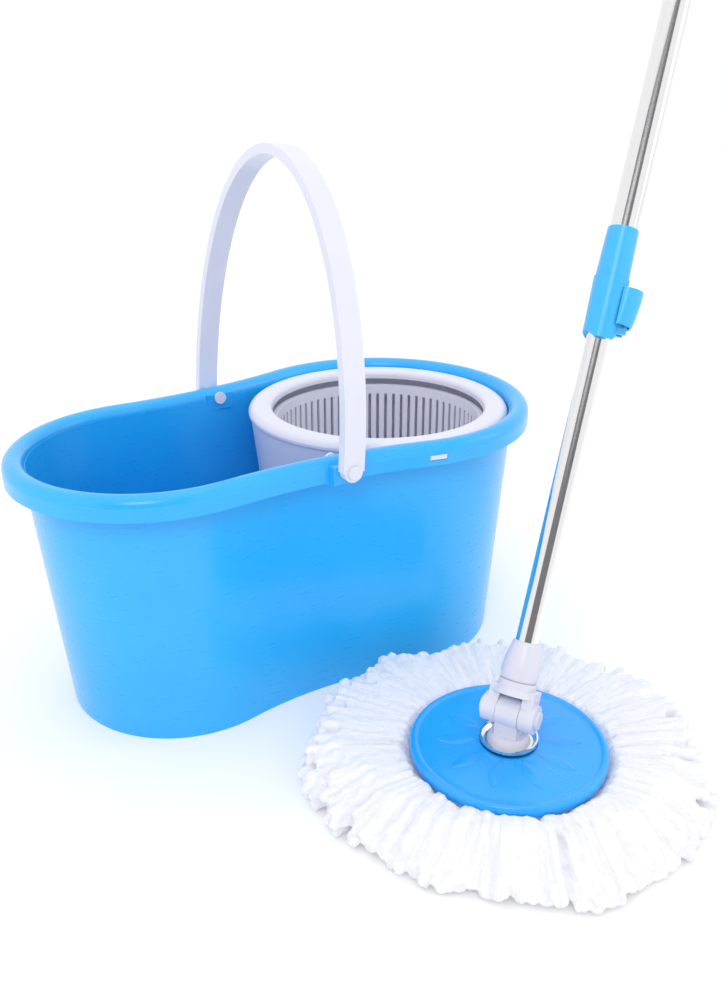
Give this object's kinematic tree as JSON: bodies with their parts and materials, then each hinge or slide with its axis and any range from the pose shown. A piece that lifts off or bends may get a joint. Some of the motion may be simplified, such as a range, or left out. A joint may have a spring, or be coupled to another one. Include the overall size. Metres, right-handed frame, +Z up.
{
  "type": "spin mop",
  "caption": "Hand-press spin mop: two-lobed bucket with bail handle and spinning slotted basket, and a swivel-head mop on a telescopic twist-drive pole.",
  "frame": {"origin": "on the floor under the middle of the bucket, at the bucket's underside", "axes": "+X along the bucket towards the spinning basket, +Y away from the mop, +Z up"},
  "size_m": [0.669, 0.5669, 0.9509],
  "materials": {
    "blue_plastic": "glossy moulded blue",
    "clip_blue": "glossy moulded blue",
    "plate_blue": "glossy moulded blue",
    "white_plastic": "glossy moulded white",
    "grey_plastic": "satin light grey",
    "nylon": "satin natural nylon",
    "steel": "polished stainless",
    "steel_dull": "plain steel",
    "grip": "soft moulded grip",
    "yarn": "fluffy microfibre yarn",
    "felt": "plain cloth"
  },
  "bodies": {
    "bucket": {"bucket_shell": "blue_plastic", "spinner_drum": "white_plastic", "handle_pins": "white_plastic", "spindle": "steel_dull", "spindle_washer_lower": "nylon", "spindle_washer_upper": "steel_dull", "spindle_nut": "steel_dull"},
    "handle": {"bail_handle": "white_plastic"},
    "basket": {"spin_basket": "white_plastic", "basket_bush": "nylon", "basket_cap": "white_plastic"},
    "mop_head": {"mop_plate": "plate_blue", "retaining_dish": "steel", "swivel_base": "grey_plastic", "base_screws": "steel_dull", "yarn_ring": "white_plastic", "backing_pad": "felt", "mop_yarn": "yarn"},
    "lower_pole": {"fork": "grey_plastic", "pivot_pin": "steel_dull", "pin_caps": "grey_plastic", "ferrule": "grey_plastic", "ferrule_rivet": "steel_dull", "lower_tube": "steel", "drive_nut": "nylon"},
    "drive_bush": {"guide_bush": "nylon"},
    "upper_pole": {"upper_tube": "steel", "twist_rod": "steel_dull", "rod_plug": "nylon", "rod_rivet": "steel_dull", "clamp_bush": "nylon", "clip_collar": "clip_blue", "clip_shroud": "clip_blue", "lever_pin": "steel_dull", "cam_shoe": "nylon", "grip_sleeve": "grip", "end_cap": "grip"},
    "lever": {"lock_lever": "clip_blue"}
  },
  "joints": [
    {"name": "handle_swing", "type": "hinge", "parent": "bucket", "child": "handle", "pos_m": [-0.014, 0, 0.217], "axis": [0, 1, 0], "range_deg": [-78, 58]},
    {"name": "basket_spin", "type": "hinge", "parent": "bucket", "child": "basket", "pos_m": [0.1007, 0, 0.12], "axis": [0, 0, 1], "continuous": true},
    {"name": "mop_lift", "type": "slide", "parent": "bucket", "child": "mop_head", "axis": [0, 0, 1], "range_m": [0, 0.6]},
    {"name": "head_tilt", "type": "hinge", "parent": "mop_head", "child": "lower_pole", "pos_m": [0.023, -0.2816, 0.07], "axis": [-0.4281, 0.9037, 0], "range_deg": [-100, 50]},
    {"name": "drive_spin", "type": "hinge", "parent": "lower_pole", "child": "drive_bush", "pos_m": [0.25039, -0.17387, 0.57029], "axis": [0.4061, 0.1924, 0.8934], "continuous": true},
    {"name": "pole_slide", "type": "slide", "parent": "drive_bush", "child": "upper_pole", "axis": [0.4061, 0.1924, 0.8934], "range_m": [-0.2, 0.2]},
    {"name": "lever_flip", "type": "hinge", "parent": "upper_pole", "child": "lever", "pos_m": [0.1517, -0.23437, 0.32707], "axis": [0.5184, 0.7566, -0.3986], "range_deg": [0, 100]}
  ],
  "couplings": [
    {"joint": "drive_spin", "follows": "pole_slide", "rad_per_m": 41.888}
  ]
}
